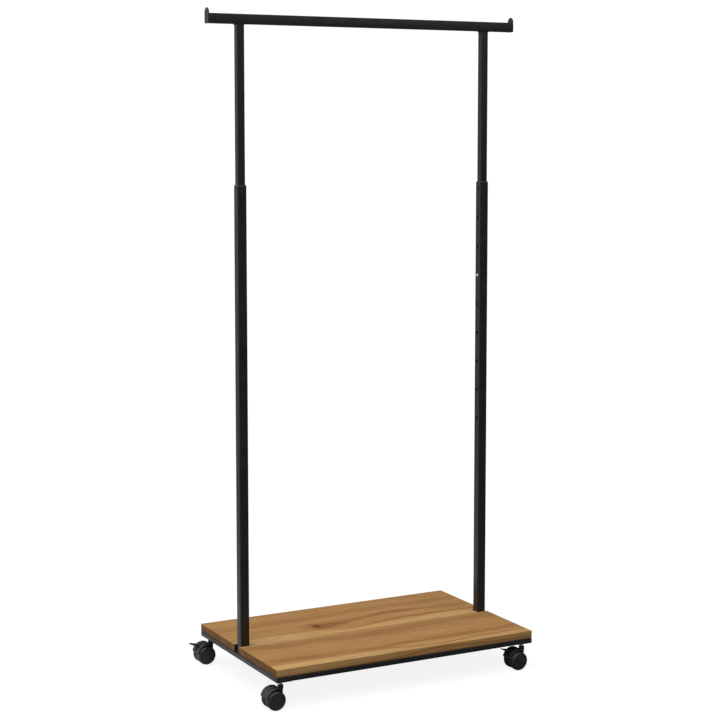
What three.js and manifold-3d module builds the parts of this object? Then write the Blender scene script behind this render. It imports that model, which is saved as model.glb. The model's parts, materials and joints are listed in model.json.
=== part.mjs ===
// A rolling garment rail: a hanging rail on two telescopic posts, which stand on a
// wooden base with four twin-wheel casters.
//
// Millimetres. X runs along the hanging rail, Y from the front (-) to the back (+),
// Z up. The origin is on the floor under the middle of the base.

import * as THREE from "three";
import { mergeVertices } from "three/addons/utils/BufferGeometryUtils.js";
import Module from "manifold-3d";

const wasm = await Module();
wasm.setup();

// ---- Driving dimensions ----

// Clearance between pieces that touch or slide on each other, and how far the shapes
// that make one piece run into each other.
const GAP = 0.3;
const OVERLAP = 1;

// Facets round a circle.
const ROUND = 16;
const WHEEL_ROUND = 24;
const HOLE_ROUND = 12;
const SCREW_ROUND = 10;
const PILOT_ROUND = 8;

// Base: a steel frame of flat tube with two boards on it.
const BASE_WIDTH = 758;
const BASE_DEPTH = 480;
const FRAME_UNDERSIDE = 70;
const FRAME_HEIGHT = 14;
const FRAME_WALL = 1.5;
const FRAME_CORNER = 3;
const SIDE_RAIL_WIDTH = 40;
const CROSS_RAIL_WIDTH = 30;
const CAP_FLANGE = 2;
const CAP_PLUG = 8;
const CAP_PLUG_CORNER = 1;
const BOARD_TOP = 104;
const BOARD_EDGE = 1.2;
const SEAM_GAP = 0.6;
const NOTCH_BEHIND_POST = 6.5;
const NOTCH_CLEARANCE = 0.4;

// Posts: an outer tube with adjustment holes, and an inner tube that slides in it.
const POST_SPACING = 722;
const OUTER_SIZE = 25;
const OUTER_WALL = 1.2;
const OUTER_CORNER = 2.5;
const OUTER_TOP = 1298;
const INNER_SIZE = 20;
const INNER_WALL = 1.5;
const INNER_CORNER = 2;
const INNER_BELOW_BUTTON = 85;
const SPIGOT_WALL = 1.5;
const SPIGOT_TOP = 160;
const POST_SCREW_HEIGHT = 130;
const POST_SCREW = { radius: 3, length: 9, headRadius: 5.5, headHeight: 3.3 };

// Height adjustment: a snap button in one hole of a row.
const HOLE_PITCH = 79;
const HOLES_ABOVE_BUTTON = 3;
const HOLES_BELOW_BUTTON = 5;
const HOLE_RADIUS = 4.4;
const BUTTON_HEIGHT = 1045;
const BUTTON_RADIUS = 4;
const BUTTON_PROUD = 3;
// Radius of the dome at each distance below its tip.
const BUTTON_DOME = [[4, 2.4], [3.5, 1.1], [2.1, 0.25], [0, 0]];
const BUTTON_FLANGE_RADIUS = 5.2;
const BUTTON_FLANGE = 1.2;
const SPRING_THICKNESS = 0.8;
const SPRING_WIDTH = 9;
const SPRING_LEG = 66;
const SPRING_BEND = 3;
const SPRING_ABOVE_BUTTON = 6;

// Guide bush in the mouth of each outer tube.
const BUSH_FLANGE = 3;
const BUSH_SLEEVE = 18;
const BUSH_SLEEVE_CORNER = 1;
const BUSH_NOTCH_WIDTH = 6;
const BUSH_NOTCH_MARGIN = 1;
const BUSH_NUB_RADIUS = 2.2;
const BUSH_NUB_DROP = 11;

// Hanging rail.
const RAIL_LENGTH = 900;
const RAIL_SIZE = 25;
const RAIL_WALL = 1.5;
const RAIL_UNDERSIDE = 1706;
const STOP_THICKNESS = 2.5;
const STOP_RISE = 14;

// Casters. Each swivels about a stem in a side rail, and its wheels trail the stem.
const CASTER_INSET = 20;
const CASTER_TRAIL = 19;
const STEM_RADIUS = 4;
const STEM_BOTTOM = 40;
const STEM_COLLAR_RADIUS = 6.5;
const STEM_COLLAR = 2;
const STEM_CHAMFER = 0.8;

// Wheels: the distances along the axle are from the middle of the caster.
const WHEEL_RADIUS = 25;
const WHEEL_INNER_FACE = 7;
const WHEEL_OUTER_FACE = 23;
const WHEEL_BEVEL = { width: 4.4, depth: 3.4 };
const WHEEL_INNER_BEVEL = 1;
const WHEEL_DISH = { radius: 19.2, slope: 1, depth: 1.2 };
const WHEEL_WALL = 4;
const RIM_INNER_RADIUS = 20.5;
const HUB_RADIUS = 7;
const AXLE_RADIUS = 3;
const AXLE_COVER = 2.5;

// Hood: a shell over the wheels, a web between them, and a neck and boss on the stem.
// The shell's curve is centred a little ahead of the axle and above it.
const HOOD_AHEAD = 1;
const HOOD_ABOVE = 3;
const HOOD_OUTER = 28.3;
const HOOD_INNER = 26.6;
const HOOD_HALF_WIDTH = 21;
const HOOD_START = THREE.MathUtils.degToRad(56);
const HOOD_END = THREE.MathUtils.degToRad(171);
const WEB_RADIUS = 23;
const WEB_HALF_WIDTH = 6;
const NECK_BOTTOM = 22;
const BOSS_RADIUS = 7.4;
const BOSS_BOTTOM = 50.6;
const BOSS_TOP = 60;
const BOSS_CHAMFER = 1;

// Brake lever. It turns on a pin in the web, just inside the back of the hood.
const LEVER_PIVOT_ANGLE = THREE.MathUtils.degToRad(135);
const LEVER_PIVOT_RADIUS = 22;
const LEVER_PIN_RADIUS = 1.5;
const LEVER_ARM_RADIUS = 3.2;
const LEVER_ARM_HALF_WIDTH = 2.8;
const LEVER_ARM_END = { x: -43.5, z: 53.5, radius: 1.6 };
const LEVER_SLOT = {
  inner: 15,
  outer: 34,
  from: THREE.MathUtils.degToRad(105),
  to: THREE.MathUtils.degToRad(158),
  clearance: 0.5,
};
const LEVER_REACH = 62;
const PEDAL_HALF_WIDTH = 9;
const PEDAL_LENGTH = 23;
const PEDAL_THICKNESS = 3;
const PEDAL_CORNER = 1.2;
const PEDAL_HEIGHT = 55.5;
const PEDAL_TILT = THREE.MathUtils.degToRad(12);

// ---- Worked-out places ----

const FRAME_TOP = FRAME_UNDERSIDE + FRAME_HEIGHT;
const FRAME_MIDDLE = FRAME_UNDERSIDE + FRAME_HEIGHT / 2;
const BOARD_BOTTOM = FRAME_TOP + GAP;
const POST_X = POST_SPACING / 2;
const SIDE_RAIL_X = (BASE_WIDTH - SIDE_RAIL_WIDTH) / 2;
const SEAM_Y = -OUTER_SIZE / 2;
const CASTER_X = BASE_WIDTH / 2 - CASTER_INSET;
const CASTER_Y = BASE_DEPTH / 2 - CASTER_INSET;
const RAIL_TOP = RAIL_UNDERSIDE + RAIL_SIZE;

// Screws that hold each board down: two in its outer rail, two in the centre rail.
const BOARD_SCREW_X = 250;
const OUTER_SCREW_Y = BASE_DEPTH / 2 - CROSS_RAIL_WIDTH / 2;
const CENTRE_SCREW_OFFSET = 7.5;
const BOARD_SCREWS = {
  front_board: [-OUTER_SCREW_Y, SEAM_Y - CENTRE_SCREW_OFFSET],
  rear_board: [OUTER_SCREW_Y, SEAM_Y + CENTRE_SCREW_OFFSET],
};
const SCREW_INTO_BOARD = 11;
const PILOT_DEPTH = 12;
const BOARD_SCREW = {
  radius: 2,
  length: FRAME_HEIGHT + 2 * GAP + SCREW_INTO_BOARD,
  headRadius: 4.2,
  headHeight: 2.4,
};

// ---- Finishes ----

const finish = (color, roughness, metalness) => () =>
  new THREE.MeshStandardMaterial({ color, roughness, metalness });
const powderCoat = finish(0x1c1c1e, 0.5, 0.4);
const blackPlastic = finish(0x161617, 0.42, 0);
const darkGreyPlastic = finish(0x3f3f40, 0.5, 0);
const brightSteel = finish(0xb9bcc0, 0.28, 1);
const springSteel = finish(0x8a8d92, 0.35, 1);
const warmWood = finish(0xb28856, 0.55, 0);

// ---- Shape helpers ----

function roundedRectangle(target, width, height, radius) {
  const x = width / 2 - radius;
  const y = height / 2 - radius;
  const quarter = Math.PI / 2;
  target.absarc(x, -y, radius, -quarter, 0, false);
  target.absarc(x, y, radius, 0, quarter, false);
  target.absarc(-x, y, radius, quarter, 2 * quarter, false);
  target.absarc(-x, -y, radius, 2 * quarter, 3 * quarter, false);
  target.closePath();
  return target;
}

function tubeSection(width, height, corner, wall) {
  const section = roundedRectangle(new THREE.Shape(), width, height, corner);
  const bore = Math.max(corner - wall, 0.5);
  section.holes.push(roundedRectangle(new THREE.Path(), width - 2 * wall, height - 2 * wall, bore));
  return section;
}

// An extrusion centred on its own length. Along "y" the section's second axis is up,
// and along "x" its first axis is Y and its second is up.
function extruded(section, length, along = "z", options = {}) {
  const geometry = new THREE.ExtrudeGeometry(section, {
    depth: length,
    bevelEnabled: false,
    curveSegments: 2,
    ...options,
  });
  geometry.translate(0, 0, -length / 2);
  if (along !== "z") geometry.rotateX(Math.PI / 2);
  if (along === "x") geometry.rotateZ(Math.PI / 2);
  return geometry;
}

// A body turned about Z, from a profile of [radius, height] points.
function turned(profile, segments = ROUND) {
  const points = profile.map(([radius, height]) => new THREE.Vector2(radius, height));
  return new THREE.LatheGeometry(points, segments).rotateX(Math.PI / 2);
}

function cylinder(radius, length, along = "z", segments = ROUND) {
  const geometry = new THREE.CylinderGeometry(radius, radius, length, segments);
  if (along === "z") geometry.rotateX(Math.PI / 2);
  if (along === "x") geometry.rotateZ(Math.PI / 2);
  return geometry;
}

// A closed mesh as a solid: shared corners are merged and empty triangles dropped.
function solidOf(geometry) {
  const bare = geometry.clone();
  bare.deleteAttribute("normal");
  bare.deleteAttribute("uv");
  const merged = mergeVertices(bare, 1e-3);
  const corners = [];
  for (let i = 0; i < merged.index.count; i += 3) {
    const [a, b, c] = merged.index.array.slice(i, i + 3);
    if (a !== b && b !== c && c !== a) corners.push(a, b, c);
  }
  const vertProperties = new Float32Array(merged.attributes.position.array);
  const triVerts = new Uint32Array(corners);
  return new wasm.Manifold(new wasm.Mesh({ numProp: 3, vertProperties, triVerts }));
}

function geometryOf(solid) {
  const mesh = solid.getMesh();
  const geometry = new THREE.BufferGeometry();
  geometry.setAttribute("position", new THREE.BufferAttribute(mesh.vertProperties, 3));
  geometry.setIndex(new THREE.BufferAttribute(mesh.triVerts, 1));
  geometry.computeVertexNormals();
  return geometry;
}

// The pieces joined, less the cutters.
function carved(pieces, cutters = []) {
  let solid = solidOf(pieces[0]);
  for (const piece of pieces.slice(1)) solid = solid.add(solidOf(piece));
  for (const cutter of cutters) solid = solid.subtract(solidOf(cutter));
  return geometryOf(solid);
}

function addPart(parent, name, geometry, material, position = [0, 0, 0]) {
  const mesh = new THREE.Mesh(geometry, material());
  mesh.name = name;
  mesh.position.set(...position);
  parent.add(mesh);
  return mesh;
}

// ---- Fasteners ----

// A low round-headed screw with its shank along +Z and its head below z = 0.
function screwGeometry({ radius, length, headRadius, headHeight }) {
  const crownRadius = headRadius * 0.6;
  const rimHeight = headHeight * 0.35;
  return turned([
    [0, -headHeight],
    [crownRadius, -headHeight],
    [headRadius, -rimHeight],
    [headRadius, 0],
    [radius, 0],
    [radius, length - radius],
    [0, length],
  ], SCREW_ROUND);
}

// ---- Base frame ----

function makeSideRail(base, name, side) {
  const length = BASE_DEPTH - 2 * (CAP_FLANGE + GAP);
  const section = tubeSection(SIDE_RAIL_WIDTH, FRAME_HEIGHT, FRAME_CORNER, FRAME_WALL);
  const stemHoles = [-CASTER_Y, CASTER_Y].map((y) =>
    cylinder(STEM_RADIUS + GAP, FRAME_HEIGHT / 2).translate(0, y, -FRAME_HEIGHT / 2));
  const geometry = carved([extruded(section, length, "y")], stemHoles);
  addPart(base, `${name}_frame_rail`, geometry, powderCoat, [side * SIDE_RAIL_X, 0, FRAME_MIDDLE]);
}

function makeEndCap(base, name, side, end) {
  const flange = roundedRectangle(new THREE.Shape(), SIDE_RAIL_WIDTH, FRAME_HEIGHT, FRAME_CORNER);
  const bore = 2 * (FRAME_WALL + GAP);
  const plug = roundedRectangle(
    new THREE.Shape(), SIDE_RAIL_WIDTH - bore, FRAME_HEIGHT - bore, CAP_PLUG_CORNER);
  const outerFace = (end * BASE_DEPTH) / 2;
  const plugMiddle = CAP_FLANGE + (CAP_PLUG - OVERLAP) / 2;
  const geometry = carved([
    extruded(flange, CAP_FLANGE, "y").translate(0, outerFace - (end * CAP_FLANGE) / 2, 0),
    extruded(plug, CAP_PLUG + OVERLAP, "y").translate(0, outerFace - end * plugMiddle, 0),
  ]);
  addPart(base, `${name}_frame_cap`, geometry, blackPlastic, [side * SIDE_RAIL_X, 0, FRAME_MIDDLE]);
}

function makeCrossRail(base, name, y, screwRows) {
  const length = 2 * (SIDE_RAIL_X - SIDE_RAIL_WIDTH / 2 - GAP);
  const section = tubeSection(CROSS_RAIL_WIDTH, FRAME_HEIGHT, FRAME_CORNER, FRAME_WALL);
  const screwHoles = screwRows.flatMap((row) => [-BOARD_SCREW_X, BOARD_SCREW_X].map((x) =>
    cylinder(BOARD_SCREW.radius + GAP, 2 * FRAME_HEIGHT, "z", PILOT_ROUND).translate(x, row - y, 0)));
  const geometry = carved([extruded(section, length, "x")], screwHoles);
  addPart(base, `${name}_frame_rail`, geometry, powderCoat, [0, y, FRAME_MIDDLE]);
}

function makeFrame(base) {
  for (const [name, side] of [["left", -1], ["right", 1]]) {
    makeSideRail(base, name, side);
    makeEndCap(base, `front_${name}`, side, -1);
    makeEndCap(base, `rear_${name}`, side, 1);
  }
  const [frontRow, frontCentreRow] = BOARD_SCREWS.front_board;
  const [rearRow, rearCentreRow] = BOARD_SCREWS.rear_board;
  makeCrossRail(base, "front", frontRow, [frontRow]);
  makeCrossRail(base, "centre", SEAM_Y, [frontCentreRow, rearCentreRow]);
  makeCrossRail(base, "rear", rearRow, [rearRow]);
}

// ---- Boards ----

function makeBoard(base, name, outline) {
  const thickness = BOARD_TOP - BOARD_BOTTOM;
  const slab = extruded(outline, thickness - 2 * BOARD_EDGE, "z", {
    bevelEnabled: true,
    bevelThickness: BOARD_EDGE,
    bevelSize: BOARD_EDGE,
    bevelOffset: -BOARD_EDGE,
    bevelSegments: 2,
  });
  const screws = BOARD_SCREWS[name].flatMap((y) => [-BOARD_SCREW_X, BOARD_SCREW_X].map((x) => [x, y]));
  const pilots = screws.map(([x, y]) =>
    cylinder(BOARD_SCREW.radius + GAP, 2 * PILOT_DEPTH, "z", PILOT_ROUND).translate(x, y, -thickness / 2));
  const middle = (BOARD_TOP + BOARD_BOTTOM) / 2;
  addPart(base, name, carved([slab], pilots), warmWood, [0, 0, middle]);

  screws.forEach(([x, y], i) => addPart(base, `${name}_screw_${i + 1}`,
    screwGeometry(BOARD_SCREW), brightSteel, [x, y, FRAME_UNDERSIDE - GAP]));
}

function makeBoards(base) {
  const x = BASE_WIDTH / 2;
  const y = BASE_DEPTH / 2;
  const frontEdge = SEAM_Y - SEAM_GAP / 2;
  const front = new THREE.Shape();
  front.moveTo(-x, -y);
  front.lineTo(x, -y);
  front.lineTo(x, frontEdge);
  front.lineTo(-x, frontEdge);
  makeBoard(base, "front_board", front);

  // The rear board is notched at both ends, where the posts stand in its front edge.
  const rearEdge = SEAM_Y + SEAM_GAP / 2;
  const notchX = POST_X - OUTER_SIZE / 2 - NOTCH_CLEARANCE;
  const notchY = OUTER_SIZE / 2 + NOTCH_BEHIND_POST;
  const rear = new THREE.Shape();
  rear.moveTo(-notchX, rearEdge);
  rear.lineTo(notchX, rearEdge);
  rear.lineTo(notchX, notchY);
  rear.lineTo(x, notchY);
  rear.lineTo(x, y);
  rear.lineTo(-x, y);
  rear.lineTo(-x, notchY);
  rear.lineTo(-notchX, notchY);
  makeBoard(base, "rear_board", rear);
}

// ---- Posts ----

// inward is the sign of X that points from this post to the other one.
function makeOuterPost(base, name, x, inward) {
  const bottom = FRAME_TOP + GAP;
  const middle = (OUTER_TOP + bottom) / 2;
  const holes = [];
  for (let step = -HOLES_BELOW_BUTTON; step <= HOLES_ABOVE_BUTTON; step++) {
    const z = BUTTON_HEIGHT + step * HOLE_PITCH - middle;
    holes.push(cylinder(HOLE_RADIUS, OUTER_SIZE / 2, "x", HOLE_ROUND)
      .translate((inward * OUTER_SIZE) / 2, 0, z));
  }
  const nubHole = cylinder(BUSH_NUB_RADIUS + GAP, OUTER_SIZE / 2, "y", HOLE_ROUND)
    .translate(0, -OUTER_SIZE / 2, OUTER_TOP - BUSH_NUB_DROP - middle);
  const screwHole = cylinder(POST_SCREW.radius + GAP, OUTER_SIZE / 2, "y", HOLE_ROUND)
    .translate(0, OUTER_SIZE / 2, POST_SCREW_HEIGHT - middle);
  const section = tubeSection(OUTER_SIZE, OUTER_SIZE, OUTER_CORNER, OUTER_WALL);
  const geometry = carved([extruded(section, OUTER_TOP - bottom)], [...holes, nubHole, screwHole]);
  addPart(base, `${name}_outer_post`, geometry, powderCoat, [x, 0, middle]);
}

// A stub welded on the side rail, which the outer post slips over, and its screw.
function makeSpigot(base, name, x) {
  const size = OUTER_SIZE - 2 * (OUTER_WALL + GAP);
  const bottom = FRAME_TOP + GAP;
  const middle = (SPIGOT_TOP + bottom) / 2;
  const section = tubeSection(size, size, OUTER_CORNER - OUTER_WALL, SPIGOT_WALL);
  const screwHole = cylinder(POST_SCREW.radius + GAP, size / 2, "y", HOLE_ROUND)
    .translate(0, size / 2, POST_SCREW_HEIGHT - middle);
  const geometry = carved([extruded(section, SPIGOT_TOP - bottom)], [screwHole]);
  addPart(base, `${name}_post_spigot`, geometry, powderCoat, [x, 0, middle]);

  const place = [x, OUTER_SIZE / 2 + GAP, POST_SCREW_HEIGHT];
  const screw = addPart(base, `${name}_post_screw`, screwGeometry(POST_SCREW), brightSteel, place);
  screw.rotation.x = Math.PI / 2;
}

function makeGuideBush(base, name, x, inward) {
  const flange = tubeSection(OUTER_SIZE, OUTER_SIZE, OUTER_CORNER, (OUTER_SIZE - INNER_SIZE) / 2 - GAP);
  const outside = OUTER_SIZE - 2 * (OUTER_WALL + GAP);
  const sleeve = tubeSection(outside, outside, BUSH_SLEEVE_CORNER, (outside - INNER_SIZE) / 2 - GAP);
  const nubLength = OUTER_WALL + 3 * GAP;
  const nubY = -OUTER_SIZE / 2 - GAP + nubLength / 2;
  const reach = HOLE_RADIUS + BUSH_NOTCH_MARGIN;
  const notchTop = BUTTON_HEIGHT + HOLES_ABOVE_BUTTON * HOLE_PITCH + reach - OUTER_TOP;
  const notch = new THREE.BoxGeometry(BUSH_NOTCH_WIDTH, 2 * reach, BUSH_SLEEVE);
  const geometry = carved([
    extruded(flange, BUSH_FLANGE).translate(0, 0, GAP + BUSH_FLANGE / 2),
    extruded(sleeve, BUSH_SLEEVE + OVERLAP).translate(0, 0, GAP + (OVERLAP - BUSH_SLEEVE) / 2),
    cylinder(BUSH_NUB_RADIUS, nubLength, "y", HOLE_ROUND).translate(0, nubY, -BUSH_NUB_DROP),
  ], [notch.translate((inward * outside) / 2, 0, notchTop - BUSH_SLEEVE / 2)]);
  addPart(base, `${name}_guide_bush`, geometry, darkGreyPlastic, [x, 0, OUTER_TOP]);
}

function makeInnerTube(upper, name, x, inward) {
  const top = RAIL_UNDERSIDE - GAP;
  const bottom = BUTTON_HEIGHT - INNER_BELOW_BUTTON;
  const middle = (top + bottom) / 2;
  const section = tubeSection(INNER_SIZE, INNER_SIZE, INNER_CORNER, INNER_WALL);
  const hole = cylinder(HOLE_RADIUS, INNER_SIZE / 2, "x")
    .translate((inward * INNER_SIZE) / 2, 0, BUTTON_HEIGHT - middle);
  addPart(upper, `${name}_inner_tube`, carved([extruded(section, top - bottom)], [hole]),
    powderCoat, [x, 0, middle]);
}

// ---- Snap button and its V spring ----

const BUTTON_FLANGE_FRONT = INNER_SIZE / 2 - INNER_WALL - GAP;
const BUTTON_BACK = BUTTON_FLANGE_FRONT - BUTTON_FLANGE;

function makeSnapButton(upper, name, x, inward) {
  const tip = OUTER_SIZE / 2 + BUTTON_PROUD;
  const geometry = turned([
    [0, BUTTON_BACK],
    [BUTTON_FLANGE_RADIUS, BUTTON_BACK],
    [BUTTON_FLANGE_RADIUS, BUTTON_FLANGE_FRONT],
    [BUTTON_RADIUS, BUTTON_FLANGE_FRONT],
    ...BUTTON_DOME.map(([radius, drop]) => [radius, tip - drop]),
  ]);
  const button = addPart(upper, `${name}_snap_button`, geometry, brightSteel, [x, 0, BUTTON_HEIGHT]);
  button.rotation.y = (inward * Math.PI) / 2;
}

function makeSnapSpring(upper, name, x, inward) {
  const buttonSide = BUTTON_BACK - GAP;
  const wallSide = INNER_SIZE / 2 - INNER_WALL - GAP;
  const halfSpread = (buttonSide + wallSide) / 2;
  const outside = SPRING_BEND + SPRING_THICKNESS / 2;
  const inside = SPRING_BEND - SPRING_THICKNESS / 2;
  const lean = Math.asin((halfSpread - outside) / SPRING_LEG);
  const point = (radius, side, along) => [
    side * (radius * Math.cos(lean) + along * Math.sin(lean)),
    -radius * Math.sin(lean) + along * Math.cos(lean),
  ];
  const outline = new THREE.Shape();
  outline.absarc(0, 0, outside, Math.PI + lean, 2 * Math.PI - lean, false);
  outline.lineTo(...point(outside, 1, SPRING_LEG));
  outline.lineTo(...point(inside, 1, SPRING_LEG));
  outline.lineTo(...point(inside, 1, 0));
  outline.absarc(0, 0, inside, -lean, -Math.PI + lean, true);
  outline.lineTo(...point(inside, -1, SPRING_LEG));
  outline.lineTo(...point(outside, -1, SPRING_LEG));
  const geometry = extruded(outline, SPRING_WIDTH, "y", { curveSegments: 10 });
  const offset = (buttonSide - wallSide) / 2;
  addPart(upper, `${name}_snap_spring`, geometry, springSteel,
    [x + inward * offset, 0, BUTTON_HEIGHT + SPRING_ABOVE_BUTTON - SPRING_LEG]);
}

// ---- Hanging rail ----

function makeRail(upper) {
  const section = tubeSection(RAIL_SIZE, RAIL_SIZE, OUTER_CORNER, RAIL_WALL);
  const length = RAIL_LENGTH - 2 * (STOP_THICKNESS + GAP);
  const middle = RAIL_UNDERSIDE + RAIL_SIZE / 2;
  addPart(upper, "hanging_rail", extruded(section, length, "x"), powderCoat, [0, 0, middle]);

  // Each end plate rises above the rail in a round tab that keeps hangers on.
  const half = RAIL_SIZE / 2;
  const shoulder = RAIL_TOP + STOP_RISE - half - middle;
  const plate = new THREE.Shape();
  plate.moveTo(-half, -half);
  plate.lineTo(half, -half);
  plate.absarc(0, shoulder, half, 0, Math.PI, false);
  for (const [name, side] of [["left", -1], ["right", 1]]) {
    const x = (side * (RAIL_LENGTH - STOP_THICKNESS)) / 2;
    const geometry = extruded(plate, STOP_THICKNESS, "x", { curveSegments: 16 });
    addPart(upper, `${name}_end_stop`, geometry, powderCoat, [x, 0, middle]);
  }
}

// ---- Casters ----
// In a caster's own frame the swivel axis is Z and the axle is behind it, towards -X.

const AXLE = new THREE.Vector2(-CASTER_TRAIL, WHEEL_RADIUS);
const HOOD_CENTRE = new THREE.Vector2(AXLE.x + HOOD_AHEAD, AXLE.y + HOOD_ABOVE);

// Part of a ring, between two radii and two angles.
function ringSector(centre, inner, outer, from, to) {
  const sector = new THREE.Shape();
  sector.absarc(centre.x, centre.y, outer, from, to, false);
  sector.absarc(centre.x, centre.y, inner, to, from, true);
  return sector;
}

const LEVER_PIVOT = new THREE.Vector2(
  AXLE.x + LEVER_PIVOT_RADIUS * Math.cos(LEVER_PIVOT_ANGLE),
  AXLE.y + LEVER_PIVOT_RADIUS * Math.sin(LEVER_PIVOT_ANGLE),
);

function hoodGeometry(braked) {
  const webSection = new THREE.Shape();
  webSection.absarc(HOOD_CENTRE.x, HOOD_CENTRE.y, HOOD_INNER + OVERLAP, HOOD_START, HOOD_END, false);
  webSection.absarc(AXLE.x, AXLE.y, WEB_RADIUS, HOOD_END, HOOD_START + 2 * Math.PI, false);
  const round = { curveSegments: 10 };
  const shell = ringSector(HOOD_CENTRE, HOOD_INNER, HOOD_OUTER, HOOD_START, HOOD_END);
  const neckTop = BOSS_BOTTOM + OVERLAP;
  const pieces = [
    extruded(shell, 2 * HOOD_HALF_WIDTH, "y", round),
    extruded(webSection, 2 * WEB_HALF_WIDTH, "y", round),
    cylinder(WEB_HALF_WIDTH, neckTop - NECK_BOTTOM).translate(0, 0, (neckTop + NECK_BOTTOM) / 2),
    turned([
      [0, BOSS_BOTTOM],
      [BOSS_RADIUS, BOSS_BOTTOM],
      [BOSS_RADIUS, BOSS_TOP - BOSS_CHAMFER],
      [BOSS_RADIUS - BOSS_CHAMFER, BOSS_TOP],
      [0, BOSS_TOP],
    ]),
  ];
  const boreLength = 2 * (BOSS_TOP - STEM_BOTTOM);
  const boreBottom = STEM_BOTTOM - GAP;
  const cutters = [
    cylinder(STEM_RADIUS + GAP, boreLength).translate(0, 0, boreBottom + boreLength / 2),
    cylinder(AXLE_RADIUS + GAP, 4 * WEB_HALF_WIDTH, "y").translate(AXLE.x, 0, AXLE.y),
  ];
  if (braked) {
    const slot = ringSector(AXLE, LEVER_SLOT.inner, LEVER_SLOT.outer, LEVER_SLOT.from, LEVER_SLOT.to);
    const slotWidth = 2 * (LEVER_ARM_HALF_WIDTH + LEVER_SLOT.clearance);
    cutters.push(
      extruded(slot, slotWidth, "y", { curveSegments: 6 }),
      cylinder(LEVER_PIN_RADIUS + GAP, 4 * WEB_HALF_WIDTH, "y", HOLE_ROUND)
        .translate(LEVER_PIVOT.x, 0, LEVER_PIVOT.y),
    );
  }
  return carved(pieces, cutters);
}

// A wheel on the +Y side of the web: a bevelled rim, a dished outer face, and a hub
// in the hollow that opens towards the web.
function wheelGeometry() {
  const inner = WHEEL_INNER_FACE;
  const outer = WHEEL_OUTER_FACE;
  const radius = WHEEL_RADIUS;
  const bore = AXLE_RADIUS + GAP;
  const points = [
    [0, outer - AXLE_COVER],
    [bore, outer - AXLE_COVER],
    [bore, inner],
    [HUB_RADIUS, inner],
    [HUB_RADIUS, outer - WHEEL_WALL],
    [RIM_INNER_RADIUS, outer - WHEEL_WALL],
    [RIM_INNER_RADIUS, inner],
    [radius - WHEEL_INNER_BEVEL, inner],
    [radius, inner + WHEEL_INNER_BEVEL],
    [radius, outer - WHEEL_BEVEL.depth],
    [radius - WHEEL_BEVEL.width, outer],
    [WHEEL_DISH.radius + WHEEL_DISH.slope, outer],
    [WHEEL_DISH.radius, outer - WHEEL_DISH.depth],
    [0, outer - WHEEL_DISH.depth],
  ].map(([r, y]) => new THREE.Vector2(r, y));
  return new THREE.LatheGeometry(points, WHEEL_ROUND);
}

function leverGeometry() {
  const arm = new THREE.Shape();
  const quarter = Math.PI / 2;
  const heading = Math.atan2(LEVER_ARM_END.z - LEVER_PIVOT.y, LEVER_ARM_END.x - LEVER_PIVOT.x);
  const [left, right] = [heading + quarter, heading - quarter];
  arm.absarc(LEVER_PIVOT.x, LEVER_PIVOT.y, LEVER_ARM_RADIUS, left, heading + 3 * quarter, false);
  arm.absarc(LEVER_ARM_END.x, LEVER_ARM_END.z, LEVER_ARM_END.radius, right, left, false);
  const pedal = roundedRectangle(new THREE.Shape(), PEDAL_LENGTH, PEDAL_THICKNESS, PEDAL_CORNER);
  const pieces = [
    extruded(arm, 2 * LEVER_ARM_HALF_WIDTH, "y", { curveSegments: 6 }),
    extruded(pedal, 2 * PEDAL_HALF_WIDTH, "y")
      .rotateY(PEDAL_TILT)
      .translate(-LEVER_REACH + PEDAL_LENGTH / 2, 0, PEDAL_HEIGHT),
  ];
  const pinHole = cylinder(LEVER_PIN_RADIUS + GAP, 4 * LEVER_ARM_HALF_WIDTH, "y", HOLE_ROUND)
    .translate(LEVER_PIVOT.x, 0, LEVER_PIVOT.y);
  return carved(pieces, [pinHole]);
}

function stemGeometry() {
  const collarTop = FRAME_UNDERSIDE - GAP;
  const collarBottom = collarTop - STEM_COLLAR;
  const top = FRAME_TOP - FRAME_WALL - 2 * GAP;
  return turned([
    [0, STEM_BOTTOM],
    [STEM_RADIUS, STEM_BOTTOM],
    [STEM_RADIUS, collarBottom],
    [STEM_COLLAR_RADIUS, collarBottom],
    [STEM_COLLAR_RADIUS, collarTop],
    [STEM_RADIUS, collarTop],
    [STEM_RADIUS, top - STEM_CHAMFER],
    [STEM_RADIUS - STEM_CHAMFER, top],
    [0, top],
  ]);
}

function makeCaster(root, name, x, y, braked) {
  const caster = new THREE.Group();
  caster.position.set(x, y, 0);
  root.add(caster);

  const onAxle = [AXLE.x, 0, AXLE.y];
  const axleLength = 2 * (WHEEL_OUTER_FACE - AXLE_COVER - GAP);
  addPart(caster, `${name}_caster_stem`, stemGeometry(), brightSteel);
  addPart(caster, `${name}_caster_hood`, hoodGeometry(braked), blackPlastic);
  addPart(caster, `${name}_caster_axle`, cylinder(AXLE_RADIUS, axleLength, "y"), brightSteel, onAxle);
  for (const [place, turn] of [["front", Math.PI], ["rear", 0]]) {
    const wheel = addPart(caster, `${name}_caster_${place}_wheel`, wheelGeometry(), blackPlastic, onAxle);
    wheel.rotation.x = turn;
  }
  if (braked) {
    addPart(caster, `${name}_brake_lever`, leverGeometry(), blackPlastic);
    const pin = cylinder(LEVER_PIN_RADIUS, 2 * (WEB_HALF_WIDTH - GAP), "y", HOLE_ROUND);
    addPart(caster, `${name}_brake_pin`, pin, brightSteel, [LEVER_PIVOT.x, 0, LEVER_PIVOT.y]);
  }
}

// ---- The whole garment rail ----

const garmentRail = new THREE.Group();
const base = new THREE.Group();
const upper = new THREE.Group();
garmentRail.add(base, upper);

makeFrame(base);
makeBoards(base);
for (const [name, side] of [["left", -1], ["right", 1]]) {
  const x = side * POST_X;
  const inward = -side;
  makeOuterPost(base, name, x, inward);
  makeSpigot(base, name, x);
  makeGuideBush(base, name, x, inward);
  makeInnerTube(upper, name, x, inward);
  makeSnapButton(upper, name, x, inward);
  makeSnapSpring(upper, name, x, inward);
}
makeRail(upper);

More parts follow.
